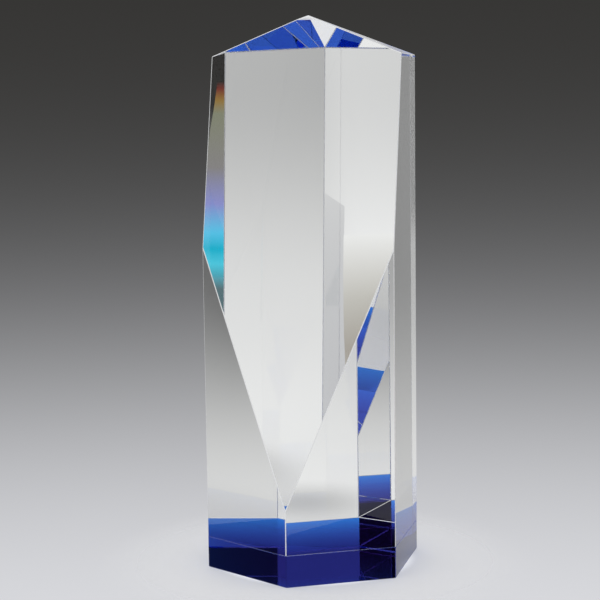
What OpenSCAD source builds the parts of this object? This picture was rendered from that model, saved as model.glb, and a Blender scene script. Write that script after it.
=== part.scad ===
// Crystal tower award.
//
// A six-sided prism of clear optical crystal stands on its end. A low six-sided pyramid closes its top, and
// one broad slanted facet is ground off the front. The facet starts as a point on the front edge a little
// above the base, widens until it reaches the two neighbouring edges, and runs on up between two sides to
// just in front of the tip. A slab of blue crystal with the same outline is bonded under the tower by a
// film of clear adhesive. Every outer edge but the ridges of the tip has a narrow flat bevel.
//
// Sizes are in millimetres and angles in degrees. The award stands on Z = 0 with +Z up, the axis of the
// hexagon is X = Y = 0, and the front edge is at -Y. A direction in plan is given by its turn from +X.

/* [Overall size] */
// Height from the table to the tip
total_height = 254; // [203:1:305]
// Distance between two opposite upright sides
across_flats = 89; // [76:0.5:102]

/* [Tip] */
// Height of the pyramid above the upright sides
tip_rise = 18; // [12:0.5:26]

/* [Front facet] */
// Height of the facet's lower point, on the front edge
facet_start = 34.8; // [28:0.2:60]
// Angle between the facet and the upright front edge
facet_lean = 12.6; // [11.5:0.1:13.5]

/* [Blue base] */
// Thickness of the blue slab
base_thickness = 14.4; // [10:0.2:24]
// Thickness of the adhesive film between the slab and the tower
bond_thickness = 0.15; // [0.1:0.05:0.3]

/* [Bevels] */
// Width of the bevel on the long edges, the facet's outline and the foot of the tip
edge_bevel = 0.5; // [0.3:0.1:2]
// Width of the bevel around the underside
rim_bevel = 0.5; // [0.3:0.1:3]
// How far the two bonded faces are eased back from the sides, which leaves a fine groove
seam_ease = 0.1; // [0.1:0.05:0.5]

/* [Hidden] */

// Turns of the outward directions of the six upright sides, starting on the right
side_turns = [for (k = [0:5]) 60 * k];
// The two sides that meet at the front edge, and the two beyond them that the facet also reaches
front_turns = [240, 300];
flank_turns = [0, 180];
// The sides whose upper edge is left by the facet
topped_turns = [0, 60, 120, 180];

flat_radius = across_flats / 2;
corner_radius = flat_radius / cos(30);
tip_slope = atan(tip_rise / flat_radius);
tower_bottom = base_thickness + bond_thickness;
// A block that is larger than the whole award, for cutting everything beyond a plane
block = 3 * total_height;

// A plane is [outward direction, distance from the origin along it].
function side(turn) = [[cos(turn), sin(turn), 0], flat_radius];
function tip_face(turn) =
    let (out = [sin(tip_slope) * cos(turn), sin(tip_slope) * sin(turn), cos(tip_slope)])
    [out, out.z * total_height];
facet = [
    [0, -cos(facet_lean), sin(facet_lean)],
    cos(facet_lean) * corner_radius + sin(facet_lean) * facet_start
];
tower_floor = [[0, 0, -1], -tower_bottom];
base_top = [[0, 0, 1], base_thickness];
underside = [[0, 0, -1], 0];

// How deep a bevel of this width cuts into an edge whose faces turn by this angle
function bevel_depth(width, angle) = width / 2 * tan(angle / 2);

// The bevel plane on the edge where planes a and b meet
function bevel(a, b, width) =
    let (sum = a[0] + b[0], angle = acos(a[0] * b[0]))
    [sum / norm(sum), (a[1] + b[1]) / norm(sum) - bevel_depth(width, angle)];

upright_bevel_radius = corner_radius - bevel_depth(edge_bevel, 60);
// An easing equal on both faces of a square edge has a face wider by the root of two
seam_bevel = seam_ease * sqrt(2);

tip_cuts = concat(
    [for (turn = side_turns) tip_face(turn)],
    [for (turn = topped_turns) bevel(side(turn), tip_face(turn), edge_bevel)]
);
facet_cuts = concat(
    [facet],
    [for (turn = concat(front_turns, flank_turns)) bevel(facet, side(turn), edge_bevel)],
    [for (turn = concat(front_turns, flank_turns)) bevel(facet, tip_face(turn), edge_bevel)]
);

// Everything beyond a plane
module beyond(plane) {
    out = plane[0];
    rotate([0, acos(out.z), atan2(out.y, out.x)])
        translate([-block / 2, -block / 2, plane[1]])
            cube(block);
}

module cut_by(planes) {
    difference() {
        children();
        for (plane = planes) beyond(plane);
    }
}

// The six-sided prism with its upright edges bevelled, standing on Z = 0
module bevelled_prism(height) {
    intersection() {
        rotate(30) cylinder(h = height, r = corner_radius, $fn = 6);
        cylinder(h = height, r = upright_bevel_radius / cos(30), $fn = 6);
    }
}

module crystal_tower() {
    color([0.86, 0.92, 0.95, 0.6])
        cut_by(concat(
            facet_cuts,
            tip_cuts,
            [for (turn = side_turns) bevel(side(turn), tower_floor, seam_bevel)]
        ))
            translate([0, 0, tower_bottom]) bevelled_prism(total_height - tower_bottom);
}

module bond_layer() {
    color([0.95, 0.95, 0.9, 0.5])
        translate([0, 0, base_thickness])
            rotate(30) cylinder(h = bond_thickness, r = (flat_radius - seam_ease) / cos(30), $fn = 6);
}

module blue_base() {
    color([0.08, 0.12, 0.6])
        cut_by(concat(
            [for (turn = side_turns) bevel(side(turn), base_top, seam_bevel)],
            [for (turn = side_turns) bevel(side(turn), underside, rim_bevel)]
        ))
            bevelled_prism(base_thickness);
}

crystal_tower();
bond_layer();
blue_base();
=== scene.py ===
import math

import bpy
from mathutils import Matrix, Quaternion, Vector


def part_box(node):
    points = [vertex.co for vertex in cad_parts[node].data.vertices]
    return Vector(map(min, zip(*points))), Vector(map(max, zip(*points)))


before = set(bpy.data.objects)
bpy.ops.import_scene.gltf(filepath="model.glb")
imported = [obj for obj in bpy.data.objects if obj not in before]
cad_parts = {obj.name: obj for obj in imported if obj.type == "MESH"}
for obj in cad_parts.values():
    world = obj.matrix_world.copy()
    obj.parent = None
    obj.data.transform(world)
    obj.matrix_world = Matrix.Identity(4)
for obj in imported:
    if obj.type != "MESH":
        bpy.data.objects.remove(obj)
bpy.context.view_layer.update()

# Lengths are in metres and angles in degrees. The award stands on Z = 0 with its front edge at -Y. A bearing
# is counted round from straight behind the award (+Y) towards its left (-X), and an elevation up from level.

# ---- The view: the camera stands right of the front edge, a little lower than the tip ----
VIEW_TURN = 14.36
VIEW_DISTANCE = 0.753
VIEW_HEIGHT = 0.2125
AIM_HEIGHT = 0.1231
AIM_LEFT = 0.0054
VIEW_ROLL = -0.72
LENS_MM = 97.6

# ---- Optics ----
CRYSTAL_IOR = 1.517
CLEAR_TINT = (0.985, 0.995, 0.99, 1.0)
BEVEL_TINT = (0.97, 0.98, 0.99, 1.0)
ADHESIVE_TINT = (0.98, 0.98, 0.96, 1.0)
# Cobalt glass takes out most of the red and much of the green within its first millimetres, and little
# more after that. The stain is that first part, and the depth colour is the slow rest.
BLUE_STAIN = (0.045, 0.26, 0.90, 1.0)
BLUE_DEPTH_COLOUR = (0.80, 0.12, 0.52, 1.0)
BLUE_DEPTH_DENSITY = 25.0
# The highest roughness of a polished face, of the adhesive's rim and of a finely ground bevel
POLISHED = 0.004
SATIN = 0.05
GROUND = 0.5
# How much of the light a ground bevel lets through clear, and doesn't scatter
BEVEL_CLEARNESS = 0.15

# ---- The bond between the slab and the tower ----
BOND_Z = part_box("blue_base")[1][2]
# A level face within the first reach of the bond is a bonded one. A face of the tower within the second
# reach is the eased rim around it.
BOND_REACH = 0.0004
SEAM_REACH = 0.002
LEVEL_NORMAL = 0.99
# A bevel's area is less than this width times its longest edge, and a polished face's is more
BEVEL_WIDTH_LIMIT = 0.0016


def rgb(red, green, blue):
    return (red, green, blue, 1.0)


def grey(level):
    return rgb(level, level, level)


class Graph:
    """The node tree of one material or world, with short ways to add and join nodes."""

    def __init__(self, owner):
        owner.use_nodes = True
        self.tree = owner.node_tree
        self.tree.nodes.clear()

    def node(self, kind, settings=None, **inputs):
        made = self.tree.nodes.new("ShaderNode" + kind)
        for name, value in (settings or {}).items():
            setattr(made, name, value)
        for name, value in inputs.items():
            self.feed(made.inputs[name.replace("_", " ")], value)
        return made

    def feed(self, socket, value):
        if isinstance(value, bpy.types.NodeSocket):
            self.tree.links.new(value, socket)
        else:
            socket.default_value = value

    def object_place(self):
        return self.node("TexCoord").outputs["Object"]

    def math(self, operation, *values):
        made = self.node("Math", {"operation": operation})
        for socket, value in zip(made.inputs, values):
            self.feed(socket, value)
        return made.outputs[0]

    def vector_math(self, operation, *values):
        made = self.node("VectorMath", {"operation": operation})
        for socket, value in zip(made.inputs, values):
            self.feed(socket, value)
        return made

    def smooth_step(self, value, start, end):
        """0 up to the start, 1 from the end on, and an S-shaped rise between them."""
        step = self.node("MapRange", {"interpolation_type": "SMOOTHSTEP"}, Value=value)
        step.inputs["From Min"].default_value = start
        step.inputs["From Max"].default_value = end
        return step.outputs["Result"]

    def mix_colours(self, factor, first, second):
        mixed = self.node("Mix", {"data_type": "RGBA"})
        self.feed(mixed.inputs["Factor"], factor)
        self.feed(mixed.inputs[6], first)
        self.feed(mixed.inputs[7], second)
        return mixed.outputs[2]

    def mix_shaders(self, factor, first, second):
        made = self.node("MixShader")
        for socket, value in zip(made.inputs, (factor, first, second)):
            self.feed(socket, value)
        return made.outputs[0]

    def output(self, surface, volume=None, kind="OutputMaterial"):
        made = self.node(kind, Surface=surface)
        if volume is not None:
            self.feed(made.inputs["Volume"], volume)


def new_material(name):
    """A material and its empty graph."""
    material = bpy.data.materials.new(name)
    return material, Graph(material)


def leave_unsampled(material):
    """For a soft glow, which rays find well enough without being aimed at it."""
    material.cycles.emission_sampling = "NONE"


# ---- The award ----
def bonded_mask(graph):
    """1 on the level faces that meet at the bond, and 0 elsewhere."""
    where = graph.node("NewGeometry")
    normal = graph.node("SeparateXYZ", Vector=where.outputs["Normal"])
    level = graph.math("GREATER_THAN", graph.math("ABSOLUTE", normal.outputs["Z"]), LEVEL_NORMAL)
    place = graph.node("SeparateXYZ", Vector=where.outputs["Position"])
    away = graph.math("ABSOLUTE", graph.math("SUBTRACT", place.outputs["Z"], BOND_Z))
    near = graph.math("LESS_THAN", away, BOND_REACH)
    return graph.math("MULTIPLY", level, near)


def crystal(name, tint, roughness, depth=None, clearness=1.0):
    """Optical crystal with a faint polishing ripple and a little uneven haze. Across the bonded faces light
    passes straight on, as it does between two glasses of one refractive index, and takes the tint of one
    crossing. The depth is the colour and density that the glass has all through."""
    material, graph = new_material(name)
    place = graph.object_place()
    ripple = graph.node("TexNoise", Vector=place, Scale=55.0, Detail=2.0)
    skin = graph.node("Bump", Strength=0.003, Distance=0.001, Height=ripple.outputs["Fac"])
    haze = graph.node("TexNoise", Vector=place, Scale=140.0, Detail=4.0)
    glass = graph.node(
        "BsdfPrincipled",
        Base_Color=tint,
        Roughness=graph.math("MULTIPLY", haze.outputs["Fac"], roughness),
        IOR=CRYSTAL_IOR,
        Transmission_Weight=clearness,
        Normal=skin.outputs["Normal"],
    )
    # A solid is crossed twice, going in and coming out, so one crossing takes the root of the tint.
    one_crossing = rgb(*(math.sqrt(part) for part in tint[:3]))
    straight = graph.node("BsdfTransparent", Color=one_crossing)
    surface = graph.mix_shaders(bonded_mask(graph), glass.outputs[0], straight.outputs[0])
    absorber = None
    if depth:
        colour, density = depth
        absorber = graph.node("VolumeAbsorption", Color=colour, Density=density).outputs[0]
    graph.output(surface, absorber)
    return material


def dress(node, materials, choose=lambda mesh, face: 0):
    """Gives a CAD node these materials, and each of its faces the one that choose() picks."""
    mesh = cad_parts[node].data
    mesh.materials.clear()
    for material in materials:
        mesh.materials.append(material)
    for face in mesh.polygons:
        face.material_index = choose(mesh, face)


def bevel_or_face(mesh, face):
    """1 for a narrow bevel, which is ground finely matte, and 0 for a polished face or the eased seam."""
    above_seam = face.center.z > BOND_Z + SEAM_REACH
    return 1 if above_seam and narrow(mesh, face) else 0


def narrow(mesh, face):
    corners = [mesh.vertices[i].co for i in face.vertices]
    edges = [(a - b).length for a, b in zip(corners, corners[1:] + corners[:1])]
    return face.area < BEVEL_WIDTH_LIMIT * max(edges)


def make_crystals():
    clear = crystal("clear_crystal", CLEAR_TINT, POLISHED)
    bevel = crystal("clear_crystal_bevel", BEVEL_TINT, GROUND, clearness=BEVEL_CLEARNESS)
    adhesive = crystal("adhesive", ADHESIVE_TINT, SATIN)
    blue = crystal("blue_crystal", BLUE_STAIN, POLISHED, (BLUE_DEPTH_COLOUR, BLUE_DEPTH_DENSITY))
    dress("crystal_tower", [clear, bevel], bevel_or_face)
    dress("bond_layer", [adhesive])
    dress("blue_base", [blue])
    # The film's level faces coincide with those of its neighbours, and a ray that met both at once would
    # cross only one of them. So rays inside the glass pass it by, and only its rim shows.
    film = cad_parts["bond_layer"]
    film.visible_transmission = False
    film.visible_glossy = False


# ---- Backdrop and floor ----
# The elevation halfway from pale to dark, and how softly the one turns into the other
HORIZON_AT = -10.5
HORIZON_WIDTH = 2.9
BACKDROP_DARK = rgb(0.0330, 0.0320, 0.0300)
BACKDROP_PALE = rgb(0.745, 0.752, 0.785)
FLOOR_RADIUS = 0.45
# The floor lies just under the underside, and two thin sheets of the studio lie just above the floor
FLOOR_Z = -0.0001
SHEET_Z = -0.00005
SHADE_Z = -0.00004
FLOOR_COLOUR = rgb(0.50, 0.503, 0.514)
FLOOR_GLOW = rgb(0.33, 0.333, 0.345)
# The distances from the middle of the award between which the floor fades into the backdrop
FLOOR_FADE = (0.05, 0.11)
# Under the award the floor glows more, in place of the light that comes down to it through the crystal
UNDER_AWARD = (0.049, 0.040)
UNDER_AWARD_LIFT = 1.4


def make_backdrop():
    """An even studio sweep all round: pale below, turning softly to dark grey above."""
    world = bpy.data.worlds.new("studio")
    bpy.context.scene.world = world
    graph = Graph(world)
    direction = graph.node("TexCoord").outputs["Generated"]
    height = graph.node("SeparateXYZ", Vector=direction).outputs["Z"]
    elevation = graph.math("DEGREES", graph.math("ARCSINE", height))
    steps = graph.math("DIVIDE", graph.math("SUBTRACT", elevation, HORIZON_AT), HORIZON_WIDTH)
    pale = graph.math("DIVIDE", 1.0, graph.math("ADD", graph.math("EXPONENT", steps), 1.0))
    colour = graph.mix_colours(pale, BACKDROP_DARK, BACKDROP_PALE)
    graph.output(graph.node("Background", Color=colour, Strength=1.0).outputs[0], kind="OutputWorld")


def make_floor():
    """A pale matte floor with a little light of its own, which fades into the backdrop."""
    bpy.ops.mesh.primitive_circle_add(
        vertices=128, radius=FLOOR_RADIUS, fill_type="NGON", location=(0, 0, FLOOR_Z)
    )
    floor = bpy.context.object
    floor.name = "floor"
    material, graph = new_material("floor")
    reach = graph.vector_math("LENGTH", graph.object_place()).outputs["Value"]
    matte = graph.node("BsdfDiffuse", Color=FLOOR_COLOUR)
    strength = graph.math("MULTIPLY_ADD", graph.smooth_step(reach, *UNDER_AWARD), UNDER_AWARD_LIFT, 1.0)
    glow = graph.node("Emission", Color=FLOOR_GLOW, Strength=strength)
    lit = graph.node("AddShader")
    graph.feed(lit.inputs[0], matte.outputs[0])
    graph.feed(lit.inputs[1], glow.outputs[0])
    clear = graph.node("BsdfTransparent")
    faded = graph.smooth_step(reach, *FLOOR_FADE)
    graph.output(graph.mix_shaders(faded, lit.outputs[0], clear.outputs[0]))
    leave_unsampled(material)
    floor.data.materials.append(material)


# ---- Light tent ----
TENT_RADIUS = 20.0
# The tent's brightness: bearing, brightness low down, and brightness at eye level
TENT_LEVELS = [
    (-180, 0.65, 0.75),
    (-158, 0.65, 0.70),
    (-132, 0.76, 0.08),
    (-112, 0.70, 0.03),
    (-80, 0.70, 0.40),
    (-23, 0.67, 0.07),
    (-14, 0.705, 0.31),
    (-2, 0.755, 0.455),
    (14, 0.82, 0.58),
    (42, 0.98, 0.67),
    (61, 0.46, 0.20),
    (109, 0.82, 0.42),
    (124, 0.75, 0.75),
    (162, 0.70, 0.72),
    (180, 0.65, 0.75),
]
TENT_TOP = 0.92
# The elevations between which the low part passes into eye level, and eye level into the top
LOW_TO_EYE = (-14.0, -5.0)
EYE_TO_TOP = (18.0, 32.0)
# Further down still, the tent's foot is a little brighter
FOOT_FROM = (-13.0, -18.0)
FOOT_LIFT = 0.12


def stage_away_from_camera(piece, in_reflections=True, through_glass=True, on_matte=True):
    """Hides a piece of studio equipment from the camera, and from those of the other rays that are ruled out:
    reflections, rays through glass, and the light and shadow on matte surfaces."""
    piece.visible_camera = False
    piece.visible_glossy = in_reflections
    piece.visible_transmission = through_glass
    piece.visible_diffuse = on_matte
    piece.visible_shadow = on_matte


def way_round(bearing):
    """A bearing as a fraction of the full turn: 0 straight in front, 0.5 straight behind, and 1 in front."""
    return (bearing + 180) / 360


def tent_level(graph, position, column):
    """The brightness in one column of the tent's levels, at this fraction of the way round."""
    ramp = graph.node("ValToRGB", Fac=position)
    stops = ramp.color_ramp.elements
    for row in TENT_LEVELS[1:-1]:
        stops.new(way_round(row[0]))
    for stop, row in zip(stops, TENT_LEVELS):
        stop.position = way_round(row[0])
        stop.color = grey(row[column])
    return ramp.outputs["Color"]


def make_tent():
    """The white light tent, which lights the award and shows in it but not behind it."""
    bpy.ops.mesh.primitive_uv_sphere_add(segments=96, ring_count=48, radius=TENT_RADIUS)
    tent = bpy.context.object
    tent.name = "light_tent"
    material, graph = new_material("light_tent")
    direction = graph.vector_math("NORMALIZE", graph.object_place()).outputs["Vector"]
    part = graph.node("SeparateXYZ", Vector=direction)
    elevation = graph.math("DEGREES", graph.math("ARCSINE", part.outputs["Z"]))
    left = graph.math("MULTIPLY", part.outputs["X"], -1.0)
    bearing = graph.math("DEGREES", graph.math("ARCTAN2", left, part.outputs["Y"]))
    position = graph.math("ADD", graph.math("DIVIDE", bearing, 360.0), 0.5)
    lift = graph.math("MULTIPLY_ADD", graph.smooth_step(elevation, *FOOT_FROM), FOOT_LIFT, 1.0)
    low = graph.node(
        "VectorMath", {"operation": "SCALE"}, Vector=tent_level(graph, position, 1), Scale=lift
    ).outputs[0]
    eye_level = tent_level(graph, position, 2)
    sides = graph.mix_colours(graph.smooth_step(elevation, *LOW_TO_EYE), low, eye_level)
    colour = graph.mix_colours(graph.smooth_step(elevation, *EYE_TO_TOP), sides, grey(TENT_TOP))
    graph.output(graph.node("Emission", Color=colour, Strength=1.0).outputs[0])
    leave_unsampled(material)
    tent.data.materials.append(material)
    stage_away_from_camera(tent)


# ---- Flags, shade and cards ----
# The shade is even near the award and has a darker cloud behind its left side. Each has the distances
# between which it grows, from its own middle, and its strength.
SHADE_GROWS = (0.175, 0.08)
SHADE_STRENGTH = 0.2
CLOUD_MIDDLE = (-0.05, 0.135, 0.0)
CLOUD_GROWS = (0.055, 0.0)
CLOUD_STRENGTH = 0.45
SHADE_COLOUR = rgb(0.25, 0.25, 0.255)
FLAG_COLOUR = rgb(0.01, 0.01, 0.01)


def quad(name, corners):
    """A thin sheet of studio equipment with these four corners."""
    mesh = bpy.data.meshes.new(name)
    mesh.from_pydata([tuple(corner) for corner in corners], [], [(0, 1, 2, 3)])
    sheet = bpy.data.objects.new(name, mesh)
    bpy.context.collection.objects.link(sheet)
    return sheet


def level_sheet(name, half_width, front, back, height):
    return quad(
        name,
        [
            (-half_width, front, height),
            (half_width, front, height),
            (half_width, back, height),
            (-half_width, back, height),
        ],
    )


def upright_sheet(name, left, right, away, low, high):
    return quad(name, [(left, away, low), (right, away, low), (right, away, high), (left, away, high)])


def blacken(flag):
    """Makes a sheet a black flag that shows only in reflections, so that they don't wash out the blue."""
    material, graph = new_material(flag.name)
    graph.output(graph.node("BsdfDiffuse", Color=FLAG_COLOUR).outputs[0])
    flag.data.materials.append(material)
    stage_away_from_camera(flag, through_glass=False, on_matte=False)


def make_flags():
    """One flag lies in front of the foot, and the other stands behind the camera on its left, where the
    slanted facet reflects it."""
    blacken(level_sheet("foot_flag", half_width=0.12, front=-0.115, back=-0.026, height=SHEET_Z))
    blacken(upright_sheet("facet_flag", left=-0.42, right=0.02, away=-0.955, low=0.08, high=0.85))


def make_shade():
    """Stands in for the award's soft shade on the floor behind it, and shows only through the crystal."""
    shade = level_sheet("floor_shade", half_width=0.1, front=0.046, back=0.2, height=SHADE_Z)
    material, graph = new_material("floor_shade")
    place = graph.object_place()
    reach = graph.vector_math("LENGTH", place).outputs["Value"]
    even = graph.math("MULTIPLY", graph.smooth_step(reach, *SHADE_GROWS), SHADE_STRENGTH)
    cloud_reach = graph.vector_math("DISTANCE", place, CLOUD_MIDDLE).outputs["Value"]
    cloud = graph.math("MULTIPLY", graph.smooth_step(cloud_reach, *CLOUD_GROWS), CLOUD_STRENGTH)
    strength = graph.math("ADD", even, cloud)
    dark = graph.node("BsdfDiffuse", Color=SHADE_COLOUR)
    clear = graph.node("BsdfTransparent")
    graph.output(graph.mix_shaders(strength, clear.outputs[0], dark.outputs[0]))
    shade.data.materials.append(material)
    stage_away_from_camera(shade, in_reflections=False, on_matte=False)


def bearing_point(bearing, distance, height):
    """The point at this bearing, distance from the award's axis and height."""
    turn = math.radians(bearing)
    return Vector((-math.sin(turn) * distance, math.cos(turn) * distance, height))


def glowing_card(name, corners, bands):
    """A card whose corners are bearings, distances and heights. It glows in level bands, given as heights and
    colours from the bottom up, which blend into each other."""
    card = quad(name, [bearing_point(*corner) for corner in corners])
    material, graph = new_material(name)
    place = graph.node("SeparateXYZ", Vector=graph.object_place())
    bottom, top = bands[0][0], bands[-1][0]
    up = graph.node("MapRange", Value=place.outputs["Z"])
    up.inputs["From Min"].default_value = bottom
    up.inputs["From Max"].default_value = top
    ramp = graph.node("ValToRGB", Fac=up.outputs["Result"])
    stops = ramp.color_ramp.elements
    for height, colour in bands[1:-1]:
        stops.new((height - bottom) / (top - bottom))
    for stop, (height, colour) in zip(stops, bands):
        stop.position = (height - bottom) / (top - bottom)
        stop.color = rgb(*colour)
    graph.output(graph.node("Emission", Color=ramp.outputs["Color"], Strength=1.0).outputs[0])
    leave_unsampled(material)
    card.data.materials.append(material)
    stage_away_from_camera(card, on_matte=False)


def make_cards():
    """The cards that the crystal shows: a grey one and a warm one behind on the left, the warm one painted
    shade, a soft shadow on the floor there that darkens towards the bottom; a dark one in front on the left;
    and in front on the right a painted rainbow, which stands in for the rainbow light that the crystal
    throws, with a dark card behind it. The rainbow's colours are painted on the card, because this glass
    bends all colours alike."""
    glowing_card(
        "grey_card",
        [(42.5, 0.502, -0.12), (50, 0.502, -0.12), (50, 0.519, 0.136), (38.75, 0.519, 0.072)],
        [(-0.09, (0.44, 0.44, 0.47)), (0.078, (0.62, 0.62, 0.63))],
    )
    # Painted shade: the warm card is the soft shadow on the floor behind the award on the left, darker
    # towards the bottom.
    glowing_card(
        "warm_painted_shade_card",
        [(28, 0.502, -0.12), (42.6, 0.501, -0.12), (39.2, 0.514, 0.05), (28, 0.514, 0.05)],
        [(-0.04, (0.27, 0.23, 0.18)), (0.0, (0.50, 0.48, 0.43)), (0.05, (0.90, 0.90, 0.89))],
    )
    glowing_card(
        "edge_card",
        [(101, 0.5, 0.10), (107, 0.5, 0.10), (107, 0.5, 0.32), (101, 0.5, 0.32)],
        [(0.10, (0.45, 0.45, 0.45)), (0.135, (0.03, 0.03, 0.03)), (0.32, (0.0, 0.0, 0.0))],
    )
    glowing_card(
        "dark_card",
        [(-121, 0.49, 0.09), (-112, 0.49, 0.09), (-112, 0.49, 0.27), (-121, 0.49, 0.27)],
        [(0.09, (0.25, 0.25, 0.23)), (0.15, (0.012, 0.011, 0.010)), (0.27, (0.012, 0.011, 0.010))],
    )
    # Painted light: the spectrum card is a painted rainbow, standing in for the rainbow light that the
    # crystal throws.
    glowing_card(
        "painted_rainbow_card",
        [(-119.5, 0.485, -0.02), (-113, 0.485, -0.02), (-116.5, 0.485, 0.175), (-119.5, 0.485, 0.175)],
        [
            (0.005, (0.08, 0.15, 0.17)),
            (0.025, (0.08, 0.60, 0.77)),
            (0.037, (0.01, 0.45, 0.63)),
            (0.050, (0.10, 0.55, 0.82)),
            (0.073, (0.25, 0.27, 0.60)),
            (0.102, (0.23, 0.22, 0.22)),
            (0.145, (0.21, 0.22, 0.15)),
            (0.155, (0.27, 0.16, 0.03)),
            (0.164, (0.16, 0.02, 0.01)),
            (0.170, (0.012, 0.011, 0.010)),
        ],
    )


# ---- Camera and light paths ----
def make_camera():
    turn = math.radians(VIEW_TURN)
    right = Vector((math.cos(turn), math.sin(turn), 0))
    eye = Vector((math.sin(turn), -math.cos(turn), 0)) * VIEW_DISTANCE + Vector((0, 0, VIEW_HEIGHT))
    aim = Vector((0, 0, AIM_HEIGHT)) - right * AIM_LEFT
    lens = bpy.data.cameras.new("camera")
    lens.lens = LENS_MM
    lens.clip_start = 0.05
    camera = bpy.data.objects.new("camera", lens)
    camera.location = eye
    camera.rotation_mode = "QUATERNION"
    roll = Quaternion((0, 0, 1), math.radians(VIEW_ROLL))
    camera.rotation_quaternion = (aim - eye).to_track_quat("-Z", "Y") @ roll
    bpy.context.collection.objects.link(camera)
    bpy.context.scene.camera = camera


def set_light_paths():
    """Shows colours as they are lit, and lets light be reflected in the crystal as often as it needs."""
    scene = bpy.context.scene
    scene.view_settings.view_transform = "Standard"
    scene.cycles.max_bounces = 32
    scene.cycles.transmission_bounces = 32
    scene.cycles.glossy_bounces = 16
    scene.cycles.transparent_max_bounces = 32
    scene.cycles.diffuse_bounces = 3


make_camera()
make_backdrop()
make_floor()
make_tent()
make_flags()
make_shade()
make_cards()
make_crystals()
set_light_paths()
